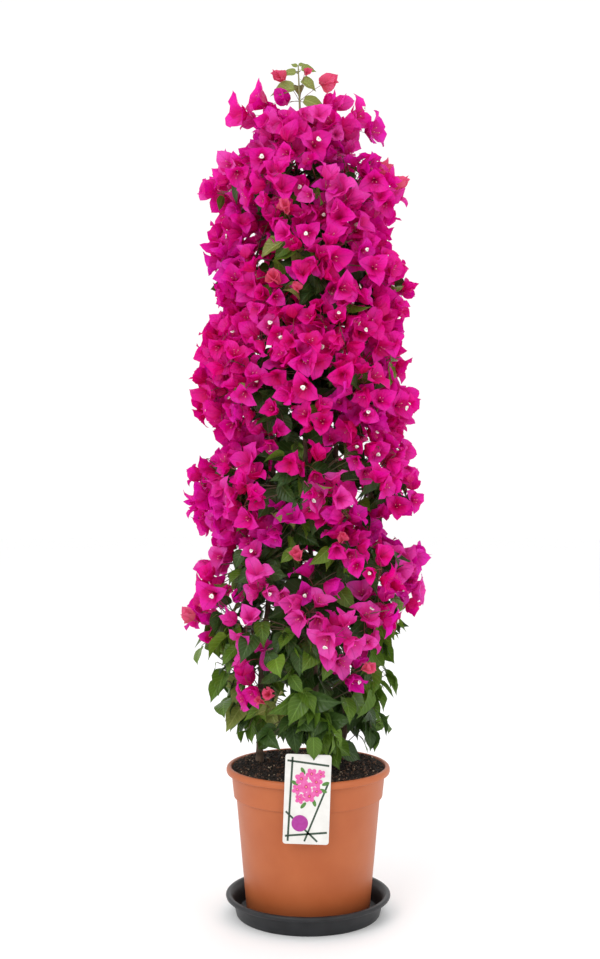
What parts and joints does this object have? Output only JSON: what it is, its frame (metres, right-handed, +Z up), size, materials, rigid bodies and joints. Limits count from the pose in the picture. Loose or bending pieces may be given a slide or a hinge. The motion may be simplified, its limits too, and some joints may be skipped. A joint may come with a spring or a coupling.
{
  "type": "potted bougainvillea bush",
  "caption": "Bushy flowering climber trained as a slim column, with papery bracts above drooping leaves, in a round tapered pot on a saucer, with a plant label on the rim.",
  "frame": {"origin": "middle of the saucer's flat underside", "axes": "+Z up along the pot's axis, -Y towards the front, where the label hangs, +X to the right as seen from the front"},
  "size_m": [0.3489, 0.3527, 1.2441],
  "materials": {
    "saucer": "satin black",
    "pot": "satin terracotta colour",
    "soil": "damp fibrous compost",
    "label": "printed card",
    "bark": "rough brown bark",
    "leaf": "satin green leaf",
    "bract": "papery magenta bract"
  },
  "bodies": {
    "root": {"saucer": "saucer", "pot": "pot", "soil": "soil", "label": "label", "stem_left": "bark", "stem_right": "bark", "stem_front": "bark", "bough_foot_1": "bark", "foliage_foot_1": "leaf", "bough_foot_2": "bark", "foliage_foot_2": "leaf", "bough_foot_3": "bark", "foliage_foot_3": "leaf", "bough_skirt_1": "bark", "foliage_skirt_1": "leaf", "bough_skirt_2": "bark", "foliage_skirt_2": "leaf", "bough_skirt_3": "bark", "foliage_skirt_3": "leaf", "bough_skirt_4": "bark", "foliage_skirt_4": "leaf", "bough_hip_1": "bark", "foliage_hip_1": "bract", "bough_hip_2": "bark", "foliage_hip_2": "bract", "bough_hip_3": "bark", "foliage_hip_3": "bract", "bough_hip_4": "bark", "foliage_hip_4": "bract", "bough_waist_1": "bark", "foliage_waist_1": "bract", "bough_waist_2": "bark", "foliage_waist_2": "bract", "bough_waist_3": "bark", "foliage_waist_3": "bract", "bough_waist_4": "bark", "foliage_waist_4": "bract", "bough_middle_1": "bark", "foliage_middle_1": "bract", "bough_middle_2": "bark", "foliage_middle_2": "bract", "bough_middle_3": "bark", "foliage_middle_3": "bract", "bough_middle_4": "bark", "foliage_middle_4": "bract", "bough_chest_1": "bark", "foliage_chest_1": "bract", "bough_chest_2": "bark", "foliage_chest_2": "bract", "bough_chest_3": "bark", "foliage_chest_3": "bract", "bough_chest_4": "bark", "foliage_chest_4": "bract", "foliage_shoulder_1": "bract", "foliage_shoulder_2": "bract", "foliage_shoulder_3": "bract", "foliage_crown_1": "bract", "foliage_crown_2": "bract", "foliage_crown_3": "bract", "foliage_tip_1": "leaf"}
  },
  "joints": []
}
